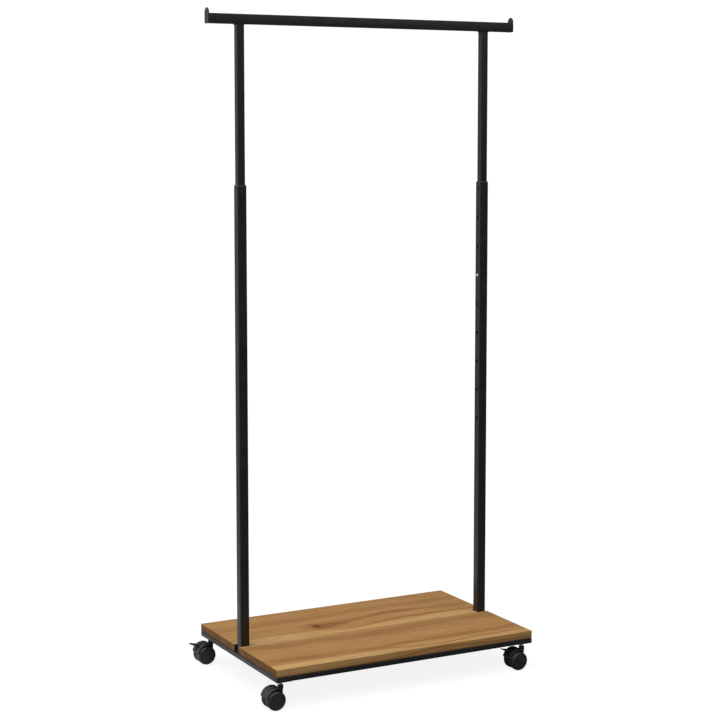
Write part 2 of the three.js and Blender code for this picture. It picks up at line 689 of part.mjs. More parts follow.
makeCaster(garmentRail, "front_left", -CASTER_X, -CASTER_Y, false);
makeCaster(garmentRail, "front_right", CASTER_X, -CASTER_Y, true);
makeCaster(garmentRail, "rear_left", -CASTER_X, CASTER_Y, true);
makeCaster(garmentRail, "rear_right", CASTER_X, CASTER_Y, false);

export default garmentRail;
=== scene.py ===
"""The looks of a rolling garment rail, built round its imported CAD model.

Metres. X runs along the hanging rail, Y from the front (-) to the back (+), Z up.
Every piece takes its place from the boxes of the CAD nodes.
"""

import json
import math
import random

import bmesh
import bpy
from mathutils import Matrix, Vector

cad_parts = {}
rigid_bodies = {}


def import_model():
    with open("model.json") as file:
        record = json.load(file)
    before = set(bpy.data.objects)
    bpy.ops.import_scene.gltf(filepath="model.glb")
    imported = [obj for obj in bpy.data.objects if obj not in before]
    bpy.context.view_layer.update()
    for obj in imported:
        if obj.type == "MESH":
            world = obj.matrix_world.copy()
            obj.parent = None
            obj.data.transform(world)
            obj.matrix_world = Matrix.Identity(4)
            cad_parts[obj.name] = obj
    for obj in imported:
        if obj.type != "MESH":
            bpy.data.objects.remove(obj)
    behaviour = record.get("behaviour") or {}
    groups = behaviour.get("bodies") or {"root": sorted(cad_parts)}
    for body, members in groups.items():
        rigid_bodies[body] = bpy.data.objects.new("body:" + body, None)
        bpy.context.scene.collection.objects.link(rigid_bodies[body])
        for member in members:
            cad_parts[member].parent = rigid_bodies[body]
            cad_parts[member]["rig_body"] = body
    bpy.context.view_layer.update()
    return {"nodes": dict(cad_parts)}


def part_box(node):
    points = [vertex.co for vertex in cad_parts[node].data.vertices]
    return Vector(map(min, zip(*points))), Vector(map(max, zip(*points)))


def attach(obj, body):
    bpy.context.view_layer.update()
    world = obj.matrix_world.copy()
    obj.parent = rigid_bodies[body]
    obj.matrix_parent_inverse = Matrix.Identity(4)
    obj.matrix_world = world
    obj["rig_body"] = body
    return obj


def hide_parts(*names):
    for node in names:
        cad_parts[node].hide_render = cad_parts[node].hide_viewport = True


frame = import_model()

# ---- Camera ----

CAMERA_PLACE = (-2.2260, -4.1542, 1.4401)
CAMERA_YAW = math.radians(28.01)
CAMERA_PITCH = math.radians(5.91)
CAMERA_LENS = 89.24
CAMERA_SHIFT_Y = -0.0625


def add(name, data):
    """A new object of the scene, which holds the data."""
    thing = bpy.data.objects.new(name, data)
    bpy.context.scene.collection.objects.link(thing)
    return thing


def make_camera():
    data = bpy.data.cameras.new("camera")
    data.lens = CAMERA_LENS
    data.shift_y = CAMERA_SHIFT_Y
    camera = add("camera", data)
    camera.location = CAMERA_PLACE
    camera.rotation_euler = (math.pi / 2 - CAMERA_PITCH, 0, -CAMERA_YAW)
    bpy.context.scene.camera = camera


make_camera()

# ---- Sizes that the CAD model's boxes don't say ----

MM = 0.001
CLEARANCE = 0.3 * MM
EDGE_BREAK = 0.25 * MM
SMALLEST_CORNER = 0.4 * MM
# Deep enough for one wall of a tube and not the other.
WALL_DRILL = 10 * MM

FRAME_WALL = 1.5 * MM
FRAME_CORNER = 3 * MM
SWIVEL_BORE = 4.3 * MM
STEM_DRILL = 8 * MM
SCREW_HOLE_RADIUS = 2.3 * MM
SCREW_DRILL = 30 * MM
CAP_FLANGE = 2 * MM
CAP_EDGE = 0.7 * MM
BOARD_EDGE = 1.2 * MM
NOTCH_BESIDE_POST = 0.4 * MM
NOTCH_BEHIND_POST = 6.5 * MM

OUTER_POST_WALL = 1.2 * MM
OUTER_POST_CORNER = 2.5 * MM
SPIGOT_WALL = 1.5 * MM
SPIGOT_CORNER = 1.3 * MM
POST_SCREW_HOLE_RADIUS = 3.3 * MM
HOLE_RADIUS = 4.4 * MM
HOLE_PITCH = 79 * MM
HOLES_ABOVE_BUTTON = 3
HOLES_BELOW_BUTTON = 5
BUSH_BORE = 20.6 * MM
BUSH_CORNER = 1.2 * MM
BUSH_EDGE = 0.8 * MM
BUSH_NOTCH = 3 * MM
NUB_DROP = 11 * MM
NUB_HOLE_RADIUS = 2.5 * MM
INNER_TUBE_WALL = 1.5 * MM
INNER_TUBE_CORNER = 2 * MM
BUTTON_RADIUS = 4 * MM
BUTTON_DOME = 2.6 * MM
BUTTON_FLANGE = 1.2 * MM
HANGING_RAIL_WALL = 1.5 * MM
STOP_CORNER = 1.5 * MM
STOP_EDGE = 0.5 * MM

# Beads of weld: the step along one, its ripples, and each bead's radius and place.
WELD_STEP = 0.8 * MM
WELD_RIPPLE = 0.10
WELD_RIPPLE_LENGTH = 1.6 * MM
WELD_UNEVENNESS = 0.07
WELD_SIDES = 10
FRAME_WELD = 1.3 * MM
STOP_WELD = 0.7 * MM
STOP_WELD_OUTSET = 0.2 * MM
RAIL_WELD = 1.7 * MM
RAIL_WELD_OUTSET = 0.4 * MM
RAIL_WELD_DROP = 0.5 * MM

CORNERS = ("front_left", "front_right", "rear_left", "rear_right")
BRAKED = ("front_right", "rear_left")
# The two sides, each with its way to the middle along X.
SIDES = (("left", 1), ("right", -1))

# ---- Shader nodes ----


class Nodes:
    """The node tree of a material or a world, with short names for its nodes."""

    def __init__(self, owner):
        owner.use_nodes = True
        self.tree = owner.node_tree
        self.tree.nodes.clear()

    def node(self, kind):
        return self.tree.nodes.new("ShaderNode" + kind)

    def feed(self, socket, value):
        if isinstance(value, bpy.types.NodeSocket):
            self.tree.links.new(value, socket)
        else:
            socket.default_value = value

    def math(self, operation, a, b=0.0):
        node = self.node("Math")
        node.operation = operation
        self.feed(node.inputs[0], a)
        self.feed(node.inputs[1], b)
        return node.outputs[0]

    def plus(self, a, b):
        return self.math("ADD", a, b)

    def minus(self, a, b):
        return self.math("SUBTRACT", a, b)

    def times(self, a, b):
        return self.math("MULTIPLY", a, b)

    def vector(self, operation, a, b=(0, 0, 0)):
        node = self.node("VectorMath")
        node.operation = operation
        self.feed(node.inputs[0], a)
        self.feed(node.inputs[1], b)
        return node.outputs["Value" if operation == "LENGTH" else "Vector"]

    def split(self, vector):
        node = self.node("SeparateXYZ")
        self.feed(node.inputs[0], vector)
        return node.outputs

    def join(self, x, y, z):
        node = self.node("CombineXYZ")
        for socket, value in zip(node.inputs, (x, y, z)):
            self.feed(socket, value)
        return node.outputs[0]

    def noise(self, vector, scale, detail=2.0, roughness=0.5):
        """Noise about 0.5, with scale as one number or as one for each axis."""
        if isinstance(scale, tuple):
            vector = self.vector("MULTIPLY", vector, scale)
            scale = 1.0
        node = self.node("TexNoise")
        self.feed(node.inputs["Vector"], vector)
        node.inputs["Scale"].default_value = scale
        node.inputs["Detail"].default_value = detail
        node.inputs["Roughness"].default_value = roughness
        return node.outputs["Fac"]

    def range(self, value, from_low, from_high, to_low=0, to_high=1, smooth=True):
        node = self.node("MapRange")
        node.interpolation_type = "SMOOTHSTEP" if smooth else "LINEAR"
        for socket, v in zip(node.inputs, (value, from_low, from_high, to_low, to_high)):
            self.feed(socket, v)
        return node.outputs[0]

    def mix(self, factor, a, b):
        node = self.node("Mix")
        node.data_type = "RGBA"
        sockets = [s for s in node.inputs if s.type == "RGBA"]
        self.feed(node.inputs[0], factor)
        for socket, color in zip(sockets, (a, b)):
            self.feed(socket, (*color, 1) if isinstance(color, tuple) else color)
        return next(s for s in node.outputs if s.type == "RGBA")

    def curve(self, value, points, reach, limit):
        """A smooth curve through points, whose two numbers lie within reach and limit of 0."""
        node = self.node("FloatCurve")
        curve = node.mapping.curves[0]
        while len(curve.points) < len(points):
            curve.points.new(0.5, 0.5)
        for point, (a, b) in zip(curve.points, points):
            point.location = (0.5 + 0.5 * a / reach, 0.5 + 0.5 * b / limit)
            point.handle_type = "AUTO_CLAMPED"
        node.mapping.update()
        self.feed(node.inputs["Value"], self.range(value, -reach, reach, smooth=False))
        return self.range(node.outputs[0], 0, 1, -limit, limit, smooth=False)

    def bump(self, height, strength, distance):
        node = self.node("Bump")
        node.inputs["Strength"].default_value = strength
        node.inputs["Distance"].default_value = distance
        self.feed(node.inputs["Height"], height)
        return node.outputs[0]


class Shader(Nodes):
    """A material with one Principled BSDF."""

    def __init__(self, name):
        self.material = bpy.data.materials.new(name)
        super().__init__(self.material)
        self.surface = self.node("BsdfPrincipled")
        self.feed(self.node("OutputMaterial").inputs["Surface"], self.surface.outputs[0])
        self.place = self.node("TexCoord").outputs["Object"]

    def set(self, **values):
        """Sets or links sockets of the Principled BSDF: base_color is its Base Color."""
        names = {s.name.lower().replace(" ", "_"): s for s in self.surface.inputs}
        for name, value in values.items():
            self.feed(names[name], value)


# ---- Materials ----


def powder_coat():
    """Satin black powder coat: a fine orange peel, with a faint unevenness in gloss."""
    s = Shader("powder_coat")
    cloud = s.noise(s.place, 22, detail=3)
    grain = s.noise(s.place, 1400, detail=2)
    peel = s.noise(s.place, 620, detail=2, roughness=0.45)
    color = s.mix(s.range(cloud, 0.3, 0.7), (0.0058, 0.0056, 0.0057), (0.0090, 0.0085, 0.0084))
    color = s.mix(s.range(grain, 0.60, 0.72, 0, 0.5), color, (0.026, 0.025, 0.025))
    s.set(
        base_color=color,
        roughness=s.range(s.plus(cloud, s.times(grain, 0.5)), 0.5, 1.0, 0.36, 0.50),
        specular_ior_level=0.5,
        normal=s.bump(peel, 0.22, 0.0003),
    )
    return s.material


def moulded_plastic(name, dark, light, gloss):
    """Moulded nylon: a fine spark-eroded texture and slightly rubbed, glossier patches."""
    s = Shader(name)
    cloud = s.noise(s.place, 60, detail=3)
    texture = s.noise(s.place, 1900, detail=2)
    flow = s.noise(s.place, (90, 90, 420), detail=2)
    s.set(
        base_color=s.mix(s.range(cloud, 0.3, 0.7), dark, light),
        roughness=s.range(flow, 0.3, 0.7, gloss, gloss + 0.12),
        specular_ior_level=0.5,
        normal=s.bump(texture, 0.18, 0.00025),
    )
    return s.material


def plated_steel(name, dark, light, rough, metallic):
    """Zinc-plated or tempered steel, with faint drawn lines and duller patches."""
    s = Shader(name)
    cloud = s.noise(s.place, 130, detail=3)
    lines = s.noise(s.place, (400, 400, 3600), detail=2)
    s.set(
        base_color=s.mix(s.range(cloud, 0.3, 0.7), dark, light),
        metallic=metallic,
        roughness=s.range(s.plus(cloud, lines), 0.7, 1.3, rough, rough + 0.16),
        normal=s.bump(lines, 0.10, 0.0002),
    )
    return s.material


# Wood tones, from pale sapwood to a knot's core, then of the ends, and last a near black that is painted
# shade in the notches and along the ends' lower edge.
SAP = (0.560, 0.345, 0.140)
LIGHT = (0.440, 0.236, 0.084)
HEART = (0.372, 0.193, 0.064)
BROWN = (0.288, 0.132, 0.040)
STREAK = (0.215, 0.088, 0.024)
KNOT = (0.210, 0.074, 0.015)
KNOT_CORE = (0.135, 0.045, 0.010)
END_LIGHT = (0.190, 0.092, 0.031)
END_DARK = (0.098, 0.044, 0.014)
# Near black: painted shade, not a finish of the wood.
PAINTED_SHADE = (0.012, 0.009, 0.006)

# How far the grain moves back for each metre down, and how far it wanders.
GRAIN_DIP = 2.2
GRAIN_WANDER = 22 * MM
# Half the length of the curves along a board, and how far one may lead the grain aside.
BOARD_REACH = 0.42
FLOW_LIMIT = 0.1
GROWTH_RING = 12.5 * MM
# The rings of the end grain, in radians for each metre.
END_RINGS_RATE = 2100
# Half the length and width of the swollen grain round a knot, and of its core.
KNOT_SWELLING = (60 * MM, 30 * MM)
KNOT_HEART = (15 * MM, 24 * MM)


def from_knot(s, offset, half_sizes):
    """0 in the middle of a knot, and 1 on the ellipse with these half sizes."""
    length, width = half_sizes
    return s.vector("LENGTH", s.vector("MULTIPLY", offset, (1 / length, 1 / width, 0)))


def round_knots(s, x, across, knots):
    """Bends the grain round each knot, and gives how much of KNOT and of KNOT_CORE shows."""
    knot_shade = core_shade = 0.0
    for knot_x, knot_y in knots:
        offset = s.vector("SUBTRACT", s.join(x, across, 0.0), (knot_x, knot_y, 0))
        near = from_knot(s, offset, KNOT_SWELLING)
        pull = s.range(near, 0, 1.9, 0.7, 0)
        across = s.minus(across, s.times(s.split(offset)[1], pull))
        core = from_knot(s, offset, KNOT_HEART)
        dark = s.plus(s.range(near, 0.10, 1.10, 0.40, 0), s.range(core, 0.35, 1.25, 0.60, 0))
        knot_shade = s.plus(dark, knot_shade)
        core_shade = s.plus(s.range(core, 0.20, 0.95, 0.85, 0), core_shade)
    return across, knot_shade, core_shade


def grain_tone(s, x, across, straight, grain, streaks, figure):
    """The planed face: the bands of the figure, and finer streaks of dark and pale wood over them."""
    broad = s.noise(grain, (2.6, 95, 95), detail=3, roughness=0.6)
    figured = s.noise(grain, (9.0, 165, 165), detail=3, roughness=0.6)
    color = s.mix(s.range(broad, 0.36, 0.64), LIGHT, HEART)
    for tone, half_width, points in figure:
        middle = s.curve(x, [(a, b) for a, b, _ in points], BOARD_REACH, BOARD_REACH)
        strength = s.curve(x, [(a, c) for a, _, c in points], BOARD_REACH, 1)
        away = s.math("ABSOLUTE", s.minus(across, middle))
        band = s.range(away, half_width * 1.5, half_width * 0.5)
        color = s.mix(s.times(band, s.math("MAXIMUM", strength, 0)), color, tone)
    color = s.mix(s.range(figured, 0.50, 0.68, 0, 0.46), color, STREAK)
    color = s.mix(s.range(figured, 0.46, 0.30, 0, 0.30), color, SAP)
    color = s.mix(s.range(streaks, 0.52, 0.74, 0, 0.62), color, STREAK)
    color = s.mix(s.range(streaks, 0.46, 0.26, 0, 0.42), color, SAP)
    phase = s.plus(s.times(straight, 2 * math.pi / GROWTH_RING), s.times(broad, 9))
    return s.mix(s.range(s.math("SINE", phase), 0.45, 1.0, 0, 0.22), color, BROWN)


def end_grain_tone(s, x, y, dipped, depth, above):
    """The board's ends: growth rings in dark, oiled wood, darker at the rear, with painted shade along the
    lower edge where the board sits on the frame.
    """
    mottle = s.noise(s.join(s.times(x, 3), dipped, depth), 75, detail=3)
    rings = s.math("SINE", s.plus(s.times(dipped, END_RINGS_RATE), s.times(mottle, 16)))
    tone = s.mix(s.range(mottle, 0.38, 0.62), END_DARK, END_LIGHT)
    tone = s.mix(s.range(rings, 0.1, 1.0, 0, 0.45), tone, STREAK)
    tone = s.mix(s.range(y, 0.02, 0.15, 0, 0.55), tone, END_DARK)
    # Painted shade: the ends darken to near black over their lowest few millimetres, where the board meets
    # the frame.
    return s.mix(s.range(above, 0.5 * MM, 3.5 * MM, 0.85, 0), tone, PAINTED_SHADE)


def wood(name, board, flow, figure, knots=()):
    """One plank with its grain along X, which follows flow, points (x, y) of one line of the grain.

    figure is the plank's coarse pattern: (tone, half width, points), with points (x, y, strength)
    along the middle of each band. knots are (x, y) places that the grain flows round."""
    s = Shader(name)
    low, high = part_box(board)
    x, y, z = s.split(s.place)[:3]
    depth = s.minus(high.z, z)
    dipped = s.plus(y, s.times(depth, GRAIN_DIP))
    wander = s.minus(s.noise(s.place, (3.0, 9.0, 9.0), detail=2), 0.5)
    across = s.plus(dipped, s.times(wander, GRAIN_WANDER))
    across, knot_shade, core_shade = round_knots(s, x, across, knots)
    straight = s.minus(across, s.curve(x, flow, BOARD_REACH, FLOW_LIMIT))
    grain = s.join(x, straight, s.times(z, 1.4))
    streaks = s.noise(grain, (5.0, 330, 330), detail=4, roughness=0.62)
    color = grain_tone(s, x, across, straight, grain, streaks, figure)
    if knots:
        color = s.mix(knot_shade, color, KNOT)
        color = s.mix(core_shade, color, KNOT_CORE)

    # Short open pores along the grain, darker and sunk a little, among fine brown fibres.
    pores = s.range(s.noise(grain, (62, 1500, 1500), detail=1), 0.66, 0.76)
    color = s.mix(s.times(pores, 0.55), color, STREAK)
    fibre = s.noise(grain, (34, 2300, 2300), detail=3, roughness=0.6)
    color = s.mix(s.range(fibre, 0.52, 0.80, 0, 0.28), color, BROWN)

    # The sawn front and rear are a little browner than the top, partly their own tone and partly painted
    # shade, and the ends are end grain.
    along, back = s.split(s.node("TexCoord").outputs["Normal"])[:2]
    color = s.mix(s.range(s.math("ABSOLUTE", back), 0.6, 0.9, 0, 0.3), color, BROWN)
    end_grain = s.range(s.math("ABSOLUTE", along), 0.6, 0.9)
    end_tone = end_grain_tone(s, x, y, dipped, depth, s.minus(z, low.z))
    color = s.mix(s.times(end_grain, 0.9), color, end_tone)

    # Where a board is notched for the posts, the notches' walls are painted near black: painted shade for the
    # deep shade inside the notches.
    post_low, post_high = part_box("right_outer_post")
    if low.y < post_high.y < high.y:
        beside = s.math("GREATER_THAN", s.math("ABSOLUTE", x), post_low.x - MM)
        before = s.math("LESS_THAN", y, post_high.y + NOTCH_BEHIND_POST + 0.1 * MM)
        color = s.mix(s.times(beside, before), color, PAINTED_SHADE)

    relief = s.minus(s.times(fibre, 0.5), pores)
    gloss = s.range(s.plus(streaks, s.times(fibre, 0.6)), 0.5, 1.1, 0.44, 0.62)
    s.set(
        base_color=color,
        roughness=s.math("MAXIMUM", gloss, s.times(end_grain, 0.85)),
        specular_ior_level=0.18,
        normal=s.bump(relief, 0.35, 0.0003),
    )
    return s.material


REAR_FLOW = ((-0.40, 0.000), (-0.12, -0.006), (0.00, 0.008), (0.13, 0.034), (0.23, 0.028), (0.40, 0.008))
FRONT_FLOW = ((-0.40, 0.008), (-0.20, -0.004), (0.00, -0.010), (0.20, 0.002), (0.40, 0.004))
REAR_FIGURE = (
    (SAP, 0.024, ((-0.40, 0.008, 0.9), (-0.15, 0.008, 0.9), (-0.05, -0.022, 0.9), (0.06, -0.006, 0.9),
                  (0.20, 0.004, 0.95), (0.40, 0.000, 0.8))),
    (STREAK, 0.004, ((-0.40, 0.040, 0.1), (-0.20, 0.042, 0.5), (-0.10, 0.046, 0.6), (0.00, 0.020, 0.2),
                    (0.12, 0.040, 0.8), (0.25, 0.042, 0.8), (0.40, 0.028, 0.5))),
    (STREAK, 0.012, ((-0.40, 0.060, 0.0), (-0.17, 0.062, 0.0), (-0.06, 0.069, 0.85), (0.03, 0.085, 0.5),
                     (0.13, 0.108, 0.7), (0.24, 0.096, 0.45), (0.40, 0.078, 0.4))),
    (LIGHT, 0.012, ((-0.40, 0.118, 0.8), (-0.10, 0.120, 0.8), (0.10, 0.134, 0.9), (0.40, 0.124, 0.8))),
    (BROWN, 0.016, ((-0.40, 0.146, 0.4), (-0.12, 0.150, 0.6), (0.10, 0.164, 0.4), (0.40, 0.160, 0.7))),
    (LIGHT, 0.014, ((-0.40, 0.195, 0.7), (-0.20, 0.195, 0.6), (0.00, 0.200, 0.2), (0.40, 0.205, 0.2))),
)
FRONT_FIGURE = (
    (SAP, 0.006, ((-0.40, -0.018, 0.9), (-0.22, -0.019, 0.8), (-0.06, -0.016, 0.3), (0.05, -0.014, 0.0),
                  (0.40, -0.014, 0.0))),
    (BROWN, 0.021, ((-0.40, -0.038, 0.5), (-0.20, -0.056, 0.6), (0.00, -0.066, 0.7), (0.18, -0.050, 0.5),
                    (0.40, -0.046, 0.4))),
    (LIGHT, 0.020, ((-0.40, -0.112, 0.4), (-0.10, -0.122, 0.7), (0.20, -0.116, 0.6), (0.40, -0.104, 0.3))),
    (BROWN, 0.014, ((-0.40, -0.160, 0.4), (-0.28, -0.176, 0.8), (-0.16, -0.190, 0.6), (0.02, -0.178, 0.7),
                    (0.20, -0.172, 0.8), (0.40, -0.168, 0.5))),
    (SAP, 0.022, ((-0.40, -0.228, 0.95), (-0.20, -0.230, 0.95), (-0.08, -0.232, 0.8), (0.02, -0.224, 0.5),
                  (0.20, -0.222, 0.6), (0.40, -0.222, 0.6))),
    (STREAK, 0.003, ((-0.40, -0.196, 0.0), (-0.10, -0.198, 0.0), (-0.05, -0.204, 0.7), (0.02, -0.216, 0.9),
                    (0.08, -0.228, 0.9), (0.18, -0.216, 0.9), (0.28, -0.210, 0.9), (0.40, -0.210, 0.7))),
)
REAR_KNOTS = ((-0.114, 0.068),)

MATERIALS = {
    "powder_coat": powder_coat(),
    "caster_plastic": moulded_plastic(
        "caster_plastic", (0.0125, 0.0125, 0.0130), (0.0190, 0.0190, 0.0195), 0.40),
    "bush_plastic": moulded_plastic("bush_plastic", (0.040, 0.040, 0.041), (0.055, 0.055, 0.056), 0.42),
    "bright_steel": plated_steel("bright_steel", (0.80, 0.81, 0.82), (0.90, 0.91, 0.92), 0.30, 0.35),
    "spring_steel": plated_steel("spring_steel", (0.24, 0.25, 0.27), (0.34, 0.35, 0.37), 0.30, 0.6),
    "rear_wood": wood("rear_wood", "rear_board", REAR_FLOW, REAR_FIGURE, REAR_KNOTS),
    "front_wood": wood("front_wood", "front_board", FRONT_FLOW, FRONT_FIGURE),
}

# ---- Meshes ----

# Where a section's two directions and its length point, for a body along each axis.
AXES = {"x": (1, 2, 0), "y": (0, 2, 1), "z": (0, 1, 2)}
SMOOTH_ANGLE = math.radians(32)


def middle_of(node):
    low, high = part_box(node)
    return (low + high) / 2


def placed(axis, u, v, w):
    point = Vector((0, 0, 0))
    for index, value in zip(AXES[axis], (u, v, w)):
        point[index] = value
    return point


def shade(piece):
    piece.data.shade_smooth()
    piece.data.set_sharp_from_angle(angle=SMOOTH_ANGLE)
    return piece


def loft(name, loops, closed=False):
    """A closed body through loops of points. closed joins the last loop to the first,
    and otherwise each end is capped. A loop of one point is a tip."""
    bm = bmesh.new()
    rings = [[bm.verts.new(point) for point in loop] for loop in loops]
    following = rings[1:] + (rings[:1] if closed else [])
    for ring, after in zip(rings, following):
        count = max(len(ring), len(after))
        for i in range(count):
            corners = (ring[i % len(ring)], ring[(i + 1) % len(ring)],
                       after[(i + 1) % len(after)], after[i % len(after)])
            bm.faces.new(list(dict.fromkeys(corners)))
    if not closed:
        for end in (rings[0], rings[-1]):
            if len(end) > 2:
                bm.faces.new(end)
    bmesh.ops.recalc_face_normals(bm, faces=bm.faces)
    mesh = bpy.data.meshes.new(name)
    bm.to_mesh(mesh)
    bm.free()
    return shade(add(name, mesh))


def rounded_rectangle(width, height, radius, steps=6):
    points = []
    for quarter, (side, end) in enumerate(((1, 1), (-1, 1), (-1, -1), (1, -1))):
        for i in range(steps + 1):
            angle = (quarter + i / steps) * math.pi / 2
            points.append((side * (width / 2 - radius) + radius * math.cos(angle),
                           end * (height / 2 - radius) + radius * math.sin(angle)))
    return points


def rectangle_ring(axis, middle, width, height, radius, at):
    u, v, _ = AXES[axis]
    return [placed(axis, middle[u] + a, middle[v] + b, at)
            for a, b in rounded_rectangle(width, height, radius)]


def tube(name, node, axis, corner, wall):
    """A rectangular tube that fills the node's box, with its ends open and lightly broken edges."""
    low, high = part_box(node)
    middle, size = (low + high) / 2, high - low
    u, v, w = AXES[axis]

    def ring(inset, at):
        radius = max(corner - inset, SMALLEST_CORNER)
        return rectangle_ring(axis, middle, size[u] - 2 * inset, size[v] - 2 * inset, radius, at)

    start, end = low[w], high[w]
    return loft(name, [
        ring(0, start + EDGE_BREAK), ring(0, end - EDGE_BREAK),
        ring(EDGE_BREAK, end), ring(wall - EDGE_BREAK, end),
        ring(wall, end - EDGE_BREAK), ring(wall, start + EDGE_BREAK),
        ring(wall - EDGE_BREAK, start), ring(EDGE_BREAK, start),
    ], closed=True)


def filleted(points, radius, steps=4, closed=True):
    """The outline with each corner rounded, by less where its sides are short."""
    points = [Vector(p) for p in points]
    rounded = []
    for i, corner in enumerate(points):
        if not closed and i in (0, len(points) - 1):
            rounded.append(corner)
            continue
        before, after = points[i - 1] - corner, points[(i + 1) % len(points)] - corner
        half = before.angle(after) / 2
        reach = min(radius / math.tan(half), 0.45 * before.length, 0.45 * after.length)
        start, end = corner + before.normalized() * reach, corner + after.normalized() * reach
        for k in range(steps + 1):
            t = k / steps
            rounded.append(start * (1 - t) ** 2 + corner * 2 * t * (1 - t) + end * t ** 2)
    return rounded


def turned(name, centre, axis, profile, closed=False, segments=64):
    """A body of revolution. profile is [(radius, height), ...] from the centre point along the axis."""
    u, v, w = AXES[axis]
    loops = []
    for radius, height in profile:
        count = 1 if radius < 1e-7 else segments
        loops.append([placed(axis,
                             centre[u] + radius * math.cos(2 * math.pi * i / segments),
                             centre[v] + radius * math.sin(2 * math.pi * i / segments),
                             centre[w] + height) for i in range(count)])
    return loft(name, loops, closed)


def prism(name, outline, axis, start, end):
    return loft(name, [[placed(axis, u, v, at) for u, v in outline] for at in (start, end)])


def arc(centre, radius, start, end, steps):
    return [(centre[0] + radius * math.cos(start + (end - start) * i / steps),
             centre[1] + radius * math.sin(start + (end - start) * i / steps)) for i in range(steps + 1)]


def applied(piece):
    """The piece with its modifiers applied to its mesh."""
    depsgraph = bpy.context.evaluated_depsgraph_get()
    mesh = bpy.data.meshes.new_from_object(piece.evaluated_get(depsgraph))
    piece.modifiers.clear()
    piece.data = mesh
    return shade(piece)


def soften(piece, width, segments=3):
    """Rounds every sharp edge of the piece."""
    bevel = piece.modifiers.new("soften", "BEVEL")
    bevel.width = width
    bevel.segments = segments
    bevel.limit_method = "ANGLE"
    bevel.angle_limit = SMOOTH_ANGLE
    return applied(piece)


def combined(piece, others, operation):
    for other in others:
        boolean = piece.modifiers.new("combine", "BOOLEAN")
        boolean.operation = operation
        boolean.solver = "EXACT"
        boolean.object = other
    applied(piece)
    for other in others:
        bpy.data.objects.remove(other)
    return piece


def joined(piece, *others):
    return combined(piece, others, "UNION")


def cut(piece, *others):
    return combined(piece, others, "DIFFERENCE")


def drill(centre, axis, radius, depth):
    """A cutter for a round hole, with centre in the middle of its depth."""
    half = depth / 2
    profile = [(0, -half), (radius, -half), (radius, half), (0, half)]
    return turned("drill", centre, axis, profile, segments=40)


def weld_bead(name, path, radius, body):
    """A rippled bead of weld round a flat, closed path of points, under the same paint as the steel."""
    dice = random.Random(name)
    count = len(path)
    normal = (path[count // 4] - path[0]).cross(path[count // 2] - path[0]).normalized()
    loops = []
    travelled = 0.0
    for i, point in enumerate(path):
        tangent = (path[(i + 1) % count] - path[i - 1]).normalized()
        aside = tangent.cross(normal)
        ripple = 1 + WELD_RIPPLE * math.sin(2 * math.pi * travelled / WELD_RIPPLE_LENGTH)
        ripple += dice.uniform(-WELD_UNEVENNESS, WELD_UNEVENNESS)
        loops.append([point + (normal * math.cos(a) + aside * math.sin(a)) * radius * ripple
                      for a in (2 * math.pi * k / WELD_SIDES for k in range(WELD_SIDES))])
        travelled += (path[(i + 1) % count] - point).length
    bead = loft(name, loops, closed=True)
    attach(bead, body)
    bead.data.materials.append(MATERIALS["powder_coat"])


def dense(path, spacing):
    """The closed path with points no further apart than spacing."""
    points = []
    for start, end in zip(path, path[1:] + path[:1]):
        steps = max(1, math.ceil((end - start).length / spacing))
        points += [start.lerp(end, k / steps) for k in range(steps)]
    return points


def stands_for(piece, node, slot, material=None):
    """The piece takes the CAD node's place, on the node's body."""
    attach(piece, frame["nodes"][node]["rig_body"])
    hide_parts(node)
    piece.data.materials.clear()
    piece.data.materials.append(MATERIALS[material or slot])


# ---- Screws ----

# Parts of the head's radius.
HEAD_HEIGHT = 0.58
SHANK_RADIUS = 0.5
RECESS_REACH = 0.58
RECESS_HALF_WIDTH = 0.13
# Parts of the head's height.
DOME_HEIGHT = 0.75
RECESS_DEPTH = 0.8
# How far round its curve the dome goes, and what the recess narrows to at its bottom.
DOME_ANGLE = 1.35
DOME_STEPS = 8
RECESS_TAPER = 0.65


def pan_head_screw(node, axis, head_end):
    """A low pan head with a cross recess. head_end is -1 or 1, the way the head faces on the axis."""
    low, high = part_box(node)
    centre, size = (low + high) / 2, high - low
    u, v, w = AXES[axis]
    radius = size[u] / 2
    face = high[w] if head_end > 0 else low[w]
    centre[w] = face
    height = HEAD_HEIGHT * radius
    shank = SHANK_RADIUS * radius
    into = -head_end
    dome = [(radius * math.sin(a), height * DOME_HEIGHT * (1 - math.cos(a)) / (1 - math.cos(DOME_ANGLE)))
            for a in (DOME_ANGLE * k / DOME_STEPS for k in range(DOME_STEPS + 1))]
    dome[-1] = (radius, height * DOME_HEIGHT)
    profile = [(r, into * h) for r, h in dome]
    profile += [(radius, into * height), (shank, into * height),
                (shank, into * (size[w] - shank)), (0, into * size[w])]
    screw = turned(f"{node}_fine", centre, axis, profile, segments=40)
    slots = []
    long, short = RECESS_REACH * radius, RECESS_HALF_WIDTH * radius
    for wide, narrow in ((long, short), (short, long)):
        ends = []
        for taper, at in ((1, face - into * MM), (RECESS_TAPER, face + into * RECESS_DEPTH * height)):
            ends.append([placed(axis, centre[u] + a * wide * taper, centre[v] + b * narrow * taper, at)
                         for a, b in ((1, 1), (-1, 1), (-1, -1), (1, -1))])
        slots.append(loft("slot", ends))
    stands_for(cut(screw, *slots), node, "bright_steel")


# ---- Base frame ----


